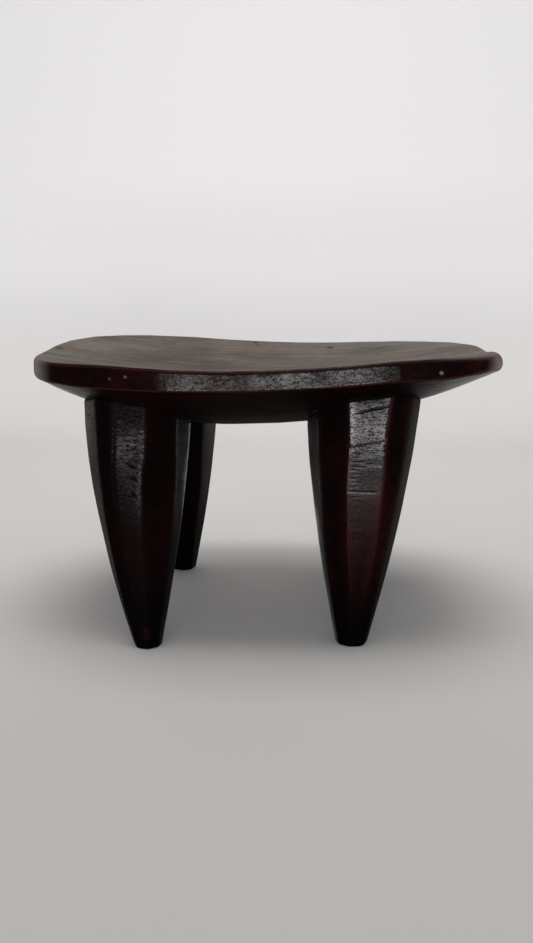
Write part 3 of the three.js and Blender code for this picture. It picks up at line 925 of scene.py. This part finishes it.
# The seat: its top is rubbed dull and browner, with grain streaks along it, and painted paler partly for
# wear and partly as a painted reflection of the pale wall; its rim and underside are oiled nearly black
def makeSeatWood():
    material, tree, shader, place = newMaterial("seatWood")
    names = ("topFace", "rub", "cutShade", "polish", "wearAndSheen", "red", "paleSpot")
    topFace, rub, cutShade, polish, wearAndSheen, red, paleSpot = readMarks(tree, *names)
    turn = {"Vector": place, "Rotation": (0, seatFinish["bladeTilt"], 0)}
    tilted = addNode(tree, "ShaderNodeMapping", turn).outputs[0]
    grain, marks, oiled = makeFigure(tree, place, tilted, seatFinish)
    # the painted shade of the nicks, scores and flutes
    oiled["Cut Shade"] = cutShade
    bands = maths(tree, "ADD", times(tree, grain["Bands"], seatFinish["bandWear"]), seatFinish["leastWear"])
    # how pale the top is painted: wear, and a painted reflection of the pale wall
    topWearAndSheen = times(tree, wearAndSheen, bands, clamp=True)
    top = useGroup(tree, oiledWood, {**oiled, **seatFinish["top"], "Polish": grain["Bands"], "Rub": topWearAndSheen})
    worked = {"Polish": polish, "Rub": rub, "Redness": red, "Marks": marks}
    rim = useGroup(tree, oiledWood, {**oiled, **seatFinish["rim"], **worked})
    colour = mixColours(tree, topFace, rim["Colour"], top["Colour"])
    colour = mixColours(tree, paleSpot, colour, seatFinish["paleSpotColour"])
    roughness = mixValues(tree, topFace, rim["Roughness"], top["Roughness"])
    notTop = oneLess(tree, topFace)
    gloss, rimHeight = times(tree, rim["Gloss"], notTop), times(tree, marks, notTop)
    topHeights = times(tree, grain["Streaks"], seatFinish["grainHeight"], topFace)
    height = maths(tree, "ADD", rimHeight, topHeights)
    linkShader(tree, shader, colour, roughness, gloss, height, seatFinish)
    return material


legFinish = {
    "wood": {
        "Deep Colour": (0.0009, 0.0004, 0.0004, 1), "Red Colour": (0.0170, 0.0016, 0.0024, 1),
        "Rubbed Colour": (0.034, 0.0036, 0.0060, 1), "Smooth": 0.2, "Rough": 0.5, "Most Gloss": 0.75,
    },
    "grain": {"Streak Length": 70 * mm, "Streak Width": 5 * mm},
    "blade": {"Mark Length": 3.6 * mm, "Mark Width": 1.4 * mm},
    "bumpStrength": 0.8,
    "bumpDistance": 1 * mm,
}


# The legs: oiled nearly black, with the grain level with the floor and fine chatter on the facets
def makeLegWood():
    material, tree, shader, place = newMaterial("legWood")
    rub, cutShade, polish, worked, red = readMarks(tree, "rub", "cutShade", "polish", "worked", "red")
    grain, marks, oiled = makeFigure(tree, place, place, legFinish)
    # with the painted shade of the cuts
    wearAndSheen = {"Cut Shade": cutShade, "Polish": polish, "Rub": rub, "Redness": red, "Marks Share": worked}
    wood = useGroup(tree, oiledWood, {**oiled, **legFinish["wood"], **wearAndSheen, "Marks": marks})
    height = times(tree, marks, worked)
    linkShader(tree, shader, wood["Colour"], wood["Roughness"], wood["Gloss"], height, legFinish)
    return material


carvedSeat.data.materials.append(makeSeatWood())
legWood = makeLegWood()
for carvedLeg in carvedLegs:
    carvedLeg.data.materials.append(legWood)

print("stage 5: the studio")

studio = {
    "front": -0.8,
    "back": 1.5,
    "bend": 0.5,
    "bendSteps": 16,
    "height": 3.2,
    "halfWidth": 3.5,
    "floorColour": (0.66, 0.645, 0.625, 1),
    "wallColour": (0.57, 0.567, 0.565, 1),
    "wallFrom": 0.3,  # the floor's colour has turned into the wall's at this height
    "backdropRoughness": 0.9,
    "worldColour": (0.93, 0.96, 1.0, 1),
    "worldStrength": 0.3,
    "cameraPlace": (44.7 * mm, -992.8 * mm, 368 * mm),
    "cameraDown": 0.2115,  # how far it looks down and to the left, in radians
    "cameraTurn": 0.045,
    "focalLength": 33.98,
}

# each lamp's place, the point it faces, its width and height, power, spread in degrees and colour
lamps = {
    "windowLamp": ((-0.02, -5.0, 0.0), (0, 0, 0.1), 4.75, 1.5, 362, 180, (1.0, 0.98, 0.985)),
    "wallLamp": ((0.0, -0.3, 2.9), (0, 1.5, 0.0), 2.2, 0.6, 6, 80, (1.0, 0.99, 0.97)),
    "ceilingLamp": ((0.0, 0.0, 3.0), (0, 0, 0), 1.6, 1.6, 14, 120, (1.0, 0.98, 0.96)),
}


# The floor and wall in one sheet: level, then a quarter circle up, then upright, drawn along its width
def makeBackdrop():
    bend = np.linspace(0, math.pi / 2, studio["bendSteps"])
    curve = studio["back"] - studio["bend"] * (1 - np.sin(bend))
    y = np.concatenate([[studio["front"]], curve, [studio["back"]]])
    z = np.concatenate([[0], studio["bend"] * (1 - np.cos(bend)), [studio["height"]]])
    x = np.array([-studio["halfWidth"], studio["halfWidth"]])
    grid = np.stack(np.broadcast_arrays(x[:, None], y[None, :], z[None, :]), -1)
    at = np.arange(grid[..., 0].size).reshape(grid.shape[:2])
    faces = np.stack([at[:-1, :-1], at[1:, :-1], at[1:, 1:], at[:-1, 1:]], -1).reshape(-1, 4)
    backdrop, mesh = addMesh("backdrop", grid.reshape(-1, 3), faces.tolist())
    material, tree, shader, place = newMaterial("paleBackdrop")
    height = addNode(tree, "ShaderNodeSeparateXYZ", {0: place}).outputs["Z"]
    wall = easeTo(tree, height, 0.0, studio["wallFrom"])
    colour = mixColours(tree, wall, studio["floorColour"], studio["wallColour"])
    tree.links.new(colour, shader.inputs["Base Color"])
    shader.inputs["Roughness"].default_value = studio["backdropRoughness"]
    mesh.materials.append(material)


# Turns a lamp to face a point: tipped from straight down by the angle whose tangent is the level distance
# over the height, and turned to the level direction
def aimAt(lamp, place, target):
    lamp.location = place
    away = np.subtract(place, target)
    tip = math.atan2(math.hypot(away[0], away[1]), away[2])
    lamp.rotation_euler = (tip, 0, math.atan2(away[0], -away[1]))


def makeLamps():
    for name, (place, target, width, height, power, spread, colour) in lamps.items():
        data = bpy.data.lights.new(name, "AREA")
        data.shape, data.size, data.size_y = "RECTANGLE", width, height
        data.energy, data.spread, data.color = power, math.radians(spread), colour
        lamp = bpy.data.objects.new(name, data)
        bpy.context.collection.objects.link(lamp)
        aimAt(lamp, place, target)
    world = bpy.data.worlds.new("softRoom")
    bpy.context.scene.world = world
    world.use_nodes = True
    background = world.node_tree.nodes["Background"]
    background.inputs["Color"].default_value = studio["worldColour"]
    background.inputs["Strength"].default_value = studio["worldStrength"]


def makeCamera():
    data = bpy.data.cameras.new("viewCamera")
    data.lens = studio["focalLength"]
    camera = bpy.data.objects.new("viewCamera", data)
    bpy.context.collection.objects.link(camera)
    camera.location = studio["cameraPlace"]
    camera.rotation_euler = (math.pi / 2 - studio["cameraDown"], 0, studio["cameraTurn"])
    bpy.context.scene.camera = camera


makeBackdrop()
makeLamps()
makeCamera()
bpy.context.scene.view_settings.view_transform = "Standard"
